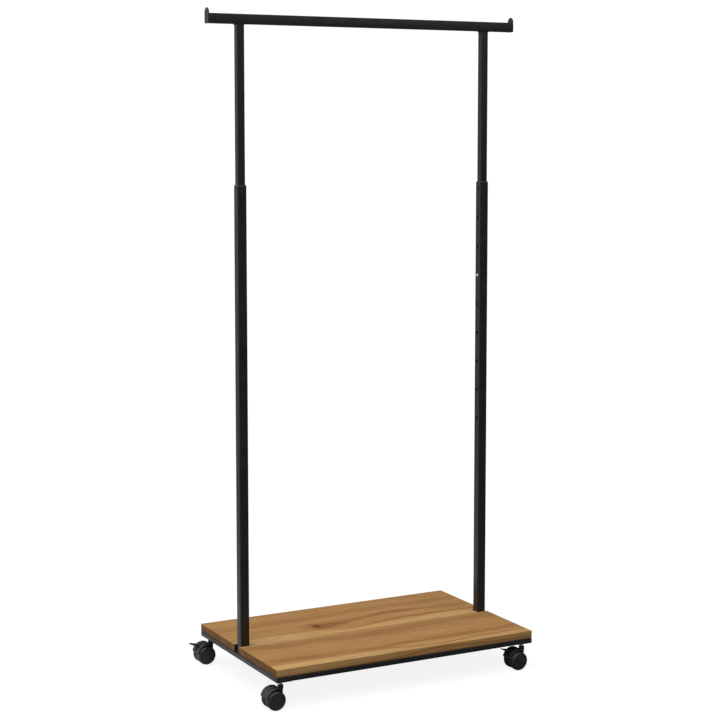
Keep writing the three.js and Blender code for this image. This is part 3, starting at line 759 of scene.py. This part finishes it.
def make_end_cap(corner):
    """A moulded cap: a flange with soft edges over the rail's end, and a plug inside it."""
    node = f"{corner}_frame_cap"
    low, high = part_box(node)
    middle, size = (low + high) / 2, high - low
    outward = -1 if corner.startswith("front") else 1
    face = low.y if outward < 0 else high.y
    plug_inset = FRAME_WALL + CLEARANCE
    stations = [(CAP_EDGE, 0), (0.2 * MM, 0.2 * MM), (0, CAP_EDGE), (0, CAP_FLANGE),
                (plug_inset, CAP_FLANGE), (plug_inset, size.y - MM), (plug_inset + 0.5 * MM, size.y)]
    loops = [rectangle_ring("y", middle, size.x - 2 * inset, size.z - 2 * inset,
                            max(FRAME_CORNER - inset, SMALLEST_CORNER), face - outward * depth)
             for inset, depth in stations]
    stands_for(loft(f"{node}_fine", loops), node, "caster_plastic")


def make_frame():
    for name, _ in SIDES:
        node = f"{name}_frame_rail"
        rail = tube(f"{node}_fine", node, "y", FRAME_CORNER, FRAME_WALL)
        stem_holes = []
        for corner in CORNERS:
            if corner.endswith(name):
                place = middle_of(f"{corner}_caster_stem")
                place.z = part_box(node)[0].z
                stem_holes.append(drill(place, "z", SWIVEL_BORE, STEM_DRILL))
        stands_for(cut(rail, *stem_holes), node, "powder_coat")
    inner_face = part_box("right_frame_rail")[0].x
    for name in ("front", "centre", "rear"):
        node = f"{name}_frame_rail"
        rail = tube(f"{node}_fine", node, "x", FRAME_CORNER, FRAME_WALL)
        low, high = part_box(node)
        middle, size = (low + high) / 2, high - low
        screw_holes = []
        for screw in [n for n in frame["nodes"] if "_board_screw_" in n]:
            place = middle_of(screw)
            if low.y < place.y < high.y:
                place.z = middle.z
                screw_holes.append(drill(place, "z", SCREW_HOLE_RADIUS, SCREW_DRILL))
        stands_for(cut(rail, *screw_holes), node, "powder_coat")
        for side, inward in SIDES:
            seam = inward * (CLEARANCE - inner_face)
            ring = rectangle_ring("x", middle, size.y, size.z, FRAME_CORNER, seam)
            weld_bead(f"{name}_frame_weld_{side}", dense(ring, WELD_STEP), FRAME_WELD, "base")
    for corner in CORNERS:
        make_end_cap(corner)


# ---- Boards ----


def make_board(node, outline, material):
    low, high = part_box(node)
    board = prism(f"{node}_fine", outline, "z", low.z, high.z)
    stands_for(soften(board, BOARD_EDGE, segments=4), node, "wood", material)


def make_boards():
    low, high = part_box("front_board")
    outline = [(low.x, low.y), (high.x, low.y), (high.x, high.y), (low.x, high.y)]
    make_board("front_board", outline, "front_wood")

    # The rear board is notched where the posts stand in its front edge.
    low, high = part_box("rear_board")
    post_low, post_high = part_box("right_outer_post")
    notch_x = post_low.x - NOTCH_BESIDE_POST
    notch_y = post_high.y + NOTCH_BEHIND_POST
    outline = [(-notch_x, low.y), (notch_x, low.y), (notch_x, notch_y), (high.x, notch_y),
               (high.x, high.y), (low.x, high.y), (low.x, notch_y), (-notch_x, notch_y)]
    make_board("rear_board", outline, "rear_wood")
    for board in ("front_board", "rear_board"):
        for number in range(1, 5):
            pan_head_screw(f"{board}_screw_{number}", "z", -1)


# ---- Posts ----


def button_height():
    return middle_of("right_snap_button").z


def make_outer_post(name, inward):
    node = f"{name}_outer_post"
    low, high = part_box(node)
    middle = (low + high) / 2
    post = tube(f"{node}_fine", node, "z", OUTER_POST_CORNER, OUTER_POST_WALL)
    face_x = high.x if inward > 0 else low.x
    cutters = []
    for step in range(-HOLES_BELOW_BUTTON, HOLES_ABOVE_BUTTON + 1):
        place = Vector((face_x, middle.y, button_height() + step * HOLE_PITCH))
        cutters.append(drill(place, "x", HOLE_RADIUS, WALL_DRILL))
    nub_place = Vector((middle.x, low.y, high.z - NUB_DROP))
    cutters.append(drill(nub_place, "y", NUB_HOLE_RADIUS, WALL_DRILL))
    screw_place = Vector((middle.x, high.y, middle_of(f"{name}_post_screw").z))
    cutters.append(drill(screw_place, "y", POST_SCREW_HOLE_RADIUS, WALL_DRILL))
    stands_for(cut(post, *cutters), node, "powder_coat")

    spigot = f"{name}_post_spigot"
    stands_for(tube(f"{spigot}_fine", spigot, "z", SPIGOT_CORNER, SPIGOT_WALL), spigot, "powder_coat")
    pan_head_screw(f"{name}_post_screw", "y", 1)


def make_guide_bush(name, inward):
    """A moulded bush: a flange on the tube's mouth, a sleeve inside, and a nub through the front."""
    node = f"{name}_guide_bush"
    low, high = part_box(node)
    post_low, post_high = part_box(f"{name}_outer_post")
    middle = (post_low + post_high) / 2
    outside = post_high.x - post_low.x
    sleeve = outside - 2 * (OUTER_POST_WALL + CLEARANCE)
    mouth = post_high.z + CLEARANCE

    def ring(width, radius, at):
        return rectangle_ring("z", middle, width, width, radius, at)

    corner = OUTER_POST_CORNER
    bush = loft(f"{node}_fine", [
        ring(outside, corner, mouth), ring(outside, corner, high.z - BUSH_EDGE),
        ring(outside - 0.5 * MM, corner, high.z - 0.25 * MM),
        ring(outside - 1.6 * MM, corner - 0.4 * MM, high.z),
        ring(BUSH_BORE + MM, BUSH_CORNER + 0.2 * MM, high.z),
        ring(BUSH_BORE, BUSH_CORNER, high.z - 0.6 * MM), ring(BUSH_BORE, BUSH_CORNER, low.z),
        ring(sleeve, BUSH_CORNER, low.z), ring(sleeve, BUSH_CORNER, mouth),
    ], closed=True)
    nub = [(r * MM, h * MM) for r, h in ((0, 0), (1.3, 0.05), (2.0, 0.4), (2.2, 0.9), (2.2, 2.2), (0, 2.2))]
    centre = Vector((middle.x, low.y, post_high.z - NUB_DROP))
    joined(bush, turned("nub", centre, "y", nub, segments=32))
    notch_top = button_height() + HOLES_ABOVE_BUTTON * HOLE_PITCH + HOLE_RADIUS + MM
    notch = [(middle.x + inward * sleeve / 2 + a * BUSH_NOTCH, middle.y + b * (HOLE_RADIUS + MM))
             for a, b in ((-1, -1), (1, -1), (1, 1), (-1, 1))]
    cut(bush, prism("notch", notch, "z", low.z - MM, notch_top))
    stands_for(bush, node, "bush_plastic")


def make_inner_tube(name, inward):
    node = f"{name}_inner_tube"
    low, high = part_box(node)
    place = (low + high) / 2
    place.x = high.x if inward > 0 else low.x
    place.z = button_height()
    inner = tube(f"{node}_fine", node, "z", INNER_TUBE_CORNER, INNER_TUBE_WALL)
    cut(inner, drill(place, "x", HOLE_RADIUS, WALL_DRILL))
    stands_for(inner, node, "powder_coat")


def make_snap_button(name, inward):
    """A steel button with a domed tip and a flange that keeps it in the tube."""
    node = f"{name}_snap_button"
    low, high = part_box(node)
    centre = (low + high) / 2
    length = high.x - low.x
    centre.x = high.x if inward > 0 else low.x
    flange = (high.z - low.z) / 2
    dome = [(BUTTON_RADIUS * math.sin(a), BUTTON_DOME * (1 - math.cos(a)))
            for a in (math.pi / 2 * k / 10 for k in range(11))]
    flange_at = length - BUTTON_FLANGE
    profile = dome + [(BUTTON_RADIUS, flange_at), (flange, flange_at), (flange, length), (0, length)]
    button = turned(f"{node}_fine", centre, "x", [(r, -inward * h) for r, h in profile], segments=40)
    stands_for(button, node, "bright_steel")


def make_posts():
    for name, inward in SIDES:
        make_outer_post(name, inward)
        make_guide_bush(name, inward)
        make_inner_tube(name, inward)
        make_snap_button(name, inward)
        spring = frame["nodes"][f"{name}_snap_spring"]
        spring.data.materials.clear()
        spring.data.materials.append(MATERIALS["spring_steel"])


# ---- Hanging rail ----


def make_hanging_rail():
    rail = tube("hanging_rail_fine", "hanging_rail", "x", OUTER_POST_CORNER, HANGING_RAIL_WALL)
    stands_for(rail, "hanging_rail", "powder_coat")
    rail_low, rail_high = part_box("hanging_rail")
    middle, size = (rail_low + rail_high) / 2, rail_high - rail_low
    for name, inward in SIDES:
        node = f"{name}_end_stop"
        low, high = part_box(node)
        half = (high.y - low.y) / 2
        shoulder = high.z - half
        outline = filleted([(-half, shoulder), (-half, low.z), (half, low.z), (half, shoulder)],
                           STOP_CORNER, closed=False)
        outline += arc((0, shoulder), half, 0, math.pi, 24)[1:-1]
        plate = soften(prism(f"{node}_fine", outline, "x", low.x, high.x), STOP_EDGE)
        stands_for(plate, node, "powder_coat")
        face = high.x if inward > 0 else low.x
        seam = face + inward * STOP_WELD_OUTSET
        ring = rectangle_ring("x", middle, size.y, size.z, OUTER_POST_CORNER, seam)
        weld_bead(f"{name}_end_weld", dense(ring, WELD_STEP), STOP_WELD, "upper_frame")

        tube_low, tube_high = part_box(f"{name}_inner_tube")
        centre, width = (tube_low + tube_high) / 2, tube_high.x - tube_low.x + 2 * RAIL_WELD_OUTSET
        seam = rail_low.z - RAIL_WELD_DROP
        ring = rectangle_ring("z", centre, width, width, INNER_TUBE_CORNER, seam)
        weld_bead(f"{name}_rail_weld", dense(ring, WELD_STEP), RAIL_WELD, "upper_frame")


# ---- Casters ----

STEM_RADIUS = 4 * MM
STEM_CHAMFER = 0.8 * MM
COLLAR_HEIGHT = 2 * MM
PIN_CHAMFER = 0.3 * MM
AXLE_BORE = 3.3 * MM
PIN_BORE = 1.8 * MM
# Drills through the web and through the lever's arm, and one that stops in the neck.
WEB_DRILL = 24 * MM
ARM_DRILL = 12 * MM
NECK_DRILL = 31 * MM
NECK_DRILL_DROP = 5 * MM
# The hood's shell is centred a little ahead of the axle and above it.
HOOD_AHEAD = 1 * MM
HOOD_ABOVE = 3 * MM
HOOD_OUTER = 28.3 * MM
HOOD_INNER = 26.6 * MM
HOOD_START = math.radians(56)
HOOD_END = math.radians(171)
HOOD_HALF_WIDTH = 21 * MM
# In millimetres: where the grooves lie across the hood, and how deep they are.
HOOD_GROOVES = (-14, -7, 7, 14)
GROOVE_DEPTH = 0.45
# The slot in a braked hood's web, which the lever's arm moves in.
SLOT_INNER = 15 * MM
SLOT_OUTER = 34 * MM
SLOT_START = math.radians(105)
SLOT_END = math.radians(158)
WEB_RADIUS = 23 * MM
WEB_EDGE = 0.6 * MM
WEB_HALF_WIDTH = 6 * MM
BOSS_RADIUS = 7.4 * MM
BOSS_HEIGHT = 9.4 * MM
NECK_LENGTH = 38 * MM
NECK_FILLET = 1 * MM
LEVER_HALF_WIDTH = 9 * MM
ARM_HALF_WIDTH = 2.8 * MM
ARM_ROOT = 3.2 * MM
ARM_TIP = 1.6 * MM
ARM_REACH = 43.5 * MM
ARM_HEIGHT = 53.5 * MM
ARM_EDGE = 0.4 * MM
LEVER_SIDE_GAP = 0.5 * MM
LEVER_REACH = 62 * MM
PEDAL_LENGTH = 23 * MM
PEDAL_HEIGHT = 55.5 * MM
PEDAL_TILT = math.radians(12)
PEDAL_EDGE = 0.8 * MM
# In millimetres from the pedal's tip.
RIBS_ALONG = (4, 6.2, 8.4, 10.6)
RIB_RADIUS = 0.6 * MM
RIB_SHORT_BY = 1.8 * MM


def ring_sector(axle, inner, outer, start, end, steps=48):
    centre = (axle.x, axle.z)
    return arc(centre, outer, start, end, steps) + arc(centre, inner, end, start, steps)


def make_stem(corner):
    """The steel stem, with a collar that bears under the side rail."""
    node = f"{corner}_caster_stem"
    low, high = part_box(node)
    rail_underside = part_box("left_frame_rail")[0].z
    radius, collar = STEM_RADIUS, (high.x - low.x) / 2
    top, bottom = high.z - low.z, rail_underside - CLEARANCE - COLLAR_HEIGHT - low.z
    outline = [(0, 0), (radius, 0), (radius, bottom), (collar, bottom), (collar, bottom + COLLAR_HEIGHT),
               (radius, bottom + COLLAR_HEIGHT), (radius, top - STEM_CHAMFER),
               (radius - STEM_CHAMFER, top), (0, top)]
    profile = [tuple(p) for p in filleted(outline, 0.4 * MM, steps=3, closed=False)]
    centre = middle_of(node)
    centre.z = low.z
    stands_for(turned(f"{node}_fine", centre, "z", profile), node, "bright_steel")


def make_pin(node):
    """A plain steel pin with chamfered ends, which fills the node's box along Y."""
    low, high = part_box(node)
    radius, length = (high.x - low.x) / 2, high.y - low.y
    centre = middle_of(node)
    centre.y = low.y
    profile = [(0, 0), (radius - PIN_CHAMFER, 0), (radius, PIN_CHAMFER), (radius, length - PIN_CHAMFER),
               (radius - PIN_CHAMFER, length), (0, length)]
    stands_for(turned(f"{node}_fine", centre, "y", profile, segments=32), node, "bright_steel")


def hood_section(centre, dip, inset):
    """The hood's section across the axle, drawn in by inset, with its outer surface lowered by dip."""
    inner, outer = HOOD_INNER + inset, HOOD_OUTER - inset - dip
    middle, half = (inner + outer) / 2, (outer - inner) / 2
    start, end = HOOD_START + (half + inset) / middle, HOOD_END - (half + inset) / middle
    front, back = ((centre[0] + middle * math.cos(a), centre[1] + middle * math.sin(a)) for a in (start, end))
    turn = math.pi
    return (arc(centre, outer, start, end, 48) + arc(back, half, end, end + turn, 8)[1:-1]
            + arc(centre, inner, end, start, 48) + arc(front, half, start + turn, start + 2 * turn, 8)[1:-1])


def make_shell(name, centre, y):
    """The curved shell of the hood, with rounded edges and shallow moulded grooves along its curve."""
    edge = HOOD_HALF_WIDTH / MM
    # Each station in millimetres: its place across, the dip of a groove, and how far it is drawn in.
    stations = [(-edge, 0, 0.6), (-edge + 0.2, 0, 0.25), (-edge + 0.7, 0, 0)]
    for groove in HOOD_GROOVES:
        for aside, dip in ((-1, 0), (-0.5, GROOVE_DEPTH), (0.5, GROOVE_DEPTH), (1, 0)):
            stations.append((groove + aside, dip, 0))
    stations += [(edge - 0.7, 0, 0), (edge - 0.2, 0, 0.25), (edge, 0, 0.6)]
    loops = [[(x, y + aside * MM, z) for x, z in hood_section(centre, dip * MM, inset * MM)]
             for aside, dip, inset in stations]
    return loft(name, loops)


def make_hood(corner):
    """The hood over both wheels, the web between them, and the neck that turns on the stem."""
    node = f"{corner}_caster_hood"
    axle, stem = middle_of(f"{corner}_caster_axle"), middle_of(f"{corner}_caster_stem")
    centre = (axle.x + HOOD_AHEAD, axle.z + HOOD_ABOVE)
    shell = make_shell(f"{node}_fine", centre, axle.y)
    web_outline = arc(centre, HOOD_INNER + MM, HOOD_START, HOOD_END, 40)
    web_outline += arc((axle.x, axle.z), WEB_RADIUS, HOOD_END, HOOD_START + 2 * math.pi, 48)
    web = prism("web", web_outline, "y", axle.y - WEB_HALF_WIDTH, axle.y + WEB_HALF_WIDTH)
    soften(web, WEB_EDGE)
    stem.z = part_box(node)[1].z
    neck_outline = [(0, 0), (BOSS_RADIUS, 0), (BOSS_RADIUS, -BOSS_HEIGHT),
                    (WEB_HALF_WIDTH + 0.4 * MM, -BOSS_HEIGHT - MM),
                    (WEB_HALF_WIDTH, -NECK_LENGTH), (0, -NECK_LENGTH)]
    neck_profile = [tuple(p) for p in filleted(neck_outline, NECK_FILLET, closed=False)]
    joined(shell, web, turned("neck", stem, "z", neck_profile))
    bore = Vector((stem.x, stem.y, stem.z - NECK_DRILL_DROP))
    cutters = [drill(bore, "z", SWIVEL_BORE, NECK_DRILL), drill(axle, "y", AXLE_BORE, WEB_DRILL)]
    if corner in BRAKED:
        pivot = middle_of(f"{corner}_brake_pin")
        slot = ring_sector(axle, SLOT_INNER, SLOT_OUTER, SLOT_START, SLOT_END, steps=16)
        half = ARM_HALF_WIDTH + LEVER_SIDE_GAP
        cutters.append(prism("slot", slot, "y", axle.y - half, axle.y + half))
        cutters.append(drill(pivot, "y", PIN_BORE, WEB_DRILL))
    stands_for(cut(shell, *cutters), node, "caster_plastic")


def make_wheel(corner, row):
    """A wheel with a crowned tread, a bevelled rim and a dished outer face."""
    node = f"{corner}_caster_{row}_wheel"
    low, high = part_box(node)
    axle = middle_of(f"{corner}_caster_axle")
    outward = 1 if row == "rear" else -1
    inner_face = (low.y if outward > 0 else high.y) - axle.y
    rim, width, bore = (high.x - low.x) / 2 / MM, (high.y - low.y) / MM, AXLE_BORE / MM
    # In millimetres: the radius, and how far out from the wheel's inner face.
    outline = [
        (0, width - 0.5), (18, width - 0.7), (18.6, width - 1.5), (19.4, width - 1.5), (20, width - 0.3),
        (20.7, width), (rim - 0.3, width - 3.5), (rim, width - 5), (rim - 0.25, 1.6), (rim - 1.4, 0),
        (20.6, 0), (20.2, width - 4), (7.4, width - 4), (7, 0), (bore, 0), (bore, width - 2.5),
        (0, width - 2.5),
    ]
    outline = filleted(outline, 0.8, steps=3, closed=False)
    profile = [(p.x * MM, inner_face + outward * p.y * MM) for p in outline]
    stands_for(turned(f"{node}_fine", axle, "y", profile, segments=96), node, "caster_plastic")


def make_lever(corner):
    """The brake lever: an arm on its pin, and a foot pedal with grip ribs."""
    node = f"{corner}_brake_lever"
    axle, stem = middle_of(f"{corner}_caster_axle"), middle_of(f"{corner}_caster_stem")
    pivot = middle_of(f"{corner}_brake_pin")
    tip = Vector((stem.x - LEVER_REACH, PEDAL_HEIGHT))

    def on_pedal(along, above):
        """A point of the tilted pedal: along it from its tip, and above the middle of its thickness."""
        offset = along - PEDAL_LENGTH / 2
        return (tip.x + PEDAL_LENGTH / 2 + offset * math.cos(PEDAL_TILT) + above * math.sin(PEDAL_TILT),
                tip.y - offset * math.sin(PEDAL_TILT) + above * math.cos(PEDAL_TILT))

    side_view = [(0.3, -0.5), (0, 0.6), (3, 1.45), (12, 1.2), (22, 1.5), (23, 0.4), (22, -1.5), (8, -1.4)]
    outline = filleted([on_pedal(a * MM, b * MM) for a, b in side_view], 1.2 * MM)
    pedal = prism(f"{node}_fine", outline, "y", axle.y - LEVER_HALF_WIDTH, axle.y + LEVER_HALF_WIDTH)
    soften(pedal, PEDAL_EDGE)
    ribs = []
    for along in RIBS_ALONG:
        x, z = on_pedal(along * MM, 1.2 * MM)
        half = LEVER_HALF_WIDTH - RIB_SHORT_BY
        rib = [(0, -half), (0.35 * MM, -half + 0.1 * MM), (RIB_RADIUS, -half + 0.5 * MM),
               (RIB_RADIUS, half - 0.5 * MM), (0.35 * MM, half - 0.1 * MM), (0, half)]
        ribs.append(turned("rib", Vector((x, axle.y, z)), "y", rib, segments=20))
    arm_end = Vector((stem.x - ARM_REACH, ARM_HEIGHT))
    heading = math.atan2(arm_end.y - pivot.z, arm_end.x - pivot.x)
    quarter = math.pi / 2
    root = (pivot.x, pivot.z)
    arm_outline = arc(root, ARM_ROOT, heading + quarter, heading + 3 * quarter, 16)
    arm_outline += arc(arm_end, ARM_TIP, heading - quarter, heading + quarter, 10)
    arm = prism("arm", arm_outline, "y", axle.y - ARM_HALF_WIDTH, axle.y + ARM_HALF_WIDTH)
    joined(pedal, soften(arm, ARM_EDGE), *ribs)
    cut(pedal, drill(pivot, "y", PIN_BORE, ARM_DRILL))
    stands_for(pedal, node, "caster_plastic")


def make_casters():
    for corner in CORNERS:
        make_stem(corner)
        make_hood(corner)
        make_pin(f"{corner}_caster_axle")
        make_wheel(corner, "front")
        make_wheel(corner, "rear")
        if corner in BRAKED:
            make_lever(corner)
            make_pin(f"{corner}_brake_pin")


# ---- Floor and light ----

FLOOR_RADIUS = 6.0
FLOOR_SIDES = 96
# The floor's shade and glow to the camera, and the shades that the object is lit by.
FLOOR_SEEN = 0.15
FLOOR_GLOW = 0.88
FLOOR_BEFORE = 0.14
FLOOR_NEAR = 0.75
FLOOR_FAR = 0.26
# The world's light on the object, from left to right, times its part from below to above.
FILL_ACROSS = (0.26, 0.04)
FILL_UP = (0.55, 1.55)
BACKDROP = 1.05
SUN_STRENGTH = 2.5
SUN_SPREAD = math.radians(75)
SUN_HEADING = (0.30, 0.15, -1)
# Each softbox's place, aim, width, height and radiance.
SOFTBOXES = {
    "back_left": ((-2.6, 2.6, 1.5), (-0.1, 0, 0.8), 1.8, 2.8, 1.0),
    "right": ((3.4, 0.4, 1.6), (0, 0, 0.8), 1.6, 2.6, 0.5),
    "front_left": ((-2.4, -3.4, 2.6), (-0.3, 0, 0), 1.0, 1.0, 4.0),
    "front_right": ((2.2, -4.0, 2.9), (0, 0, 1.4), 2.0, 1.0, 2.3),
}


def grey(level):
    return (level, level, level)


def make_floor():
    """A pale floor, nearly white to the camera, that lights the object less and least in front."""
    ring = [(x, y, 0) for x, y in arc((0, 0), FLOOR_RADIUS, 0, 2 * math.pi, FLOOR_SIDES)[:-1]]
    mesh = bpy.data.meshes.new("floor")
    mesh.from_pydata(ring, [], [range(FLOOR_SIDES)])
    floor = add("floor", mesh)
    s = Shader("pale_floor")
    seen = s.node("LightPath").outputs["Is Camera Ray"]
    x, y = s.split(s.place)[:2]
    behind = s.plus(s.times(x, -0.6), s.times(y, 0.8))
    away = s.vector("LENGTH", s.join(x, y, 0.0))
    lit = s.mix(s.range(away, 0.9, 2.2), grey(FLOOR_NEAR), grey(FLOOR_FAR))
    unseen = s.mix(s.range(behind, -0.15, 0.45), grey(FLOOR_BEFORE), lit)
    s.set(base_color=s.mix(seen, unseen, grey(FLOOR_SEEN)), roughness=0.9, specular_ior_level=0.1,
          emission_color=(*grey(1.0), 1), emission_strength=s.times(seen, FLOOR_GLOW))
    mesh.materials.append(s.material)


def make_world():
    """White to the camera, and a dimmer fill on the object, mostly from the left and from above."""
    world = bpy.data.worlds.new("studio")
    n = Nodes(world)
    x, _, z = n.split(n.node("TexCoord").outputs["Generated"])[:3]
    across = n.range(x, -1, 1, *FILL_ACROSS, smooth=False)
    up = n.range(z, -0.15, 0.30, *FILL_UP, smooth=False)
    mix = n.node("MixShader")
    n.feed(mix.inputs[0], n.node("LightPath").outputs["Is Camera Ray"])
    for socket, strength in zip(mix.inputs[1:], (n.times(across, up), BACKDROP)):
        background = n.node("Background")
        n.feed(background.inputs["Color"], (*grey(1.0), 1))
        n.feed(background.inputs["Strength"], strength)
        n.feed(socket, background.outputs[0])
    n.feed(n.node("OutputWorld").inputs["Surface"], mix.outputs[0])
    bpy.context.scene.world = world


def softbox(name, place, aim, width, height, radiance):
    """A soft rectangular light that the camera sees only in the object's gloss."""
    data = bpy.data.lights.new(name, "AREA")
    data.shape = "RECTANGLE"
    data.size, data.size_y = width, height
    data.energy = radiance * math.pi * width * height
    light = add(name, data)
    light.location = place
    light.rotation_euler = (Vector(aim) - Vector(place)).to_track_quat("-Z", "Y").to_euler()
    light.visible_camera = False


def make_light():
    make_world()
    data = bpy.data.lights.new("overhead", "SUN")
    data.energy = SUN_STRENGTH
    data.angle = SUN_SPREAD
    overhead = add("overhead", data)
    overhead.rotation_euler = Vector(SUN_HEADING).to_track_quat("-Z", "Y").to_euler()
    for name, values in SOFTBOXES.items():
        softbox(name, *values)


make_frame()
make_boards()
make_posts()
make_hanging_rail()
make_casters()
make_floor()
make_light()
bpy.context.scene.view_settings.view_transform = "Standard"
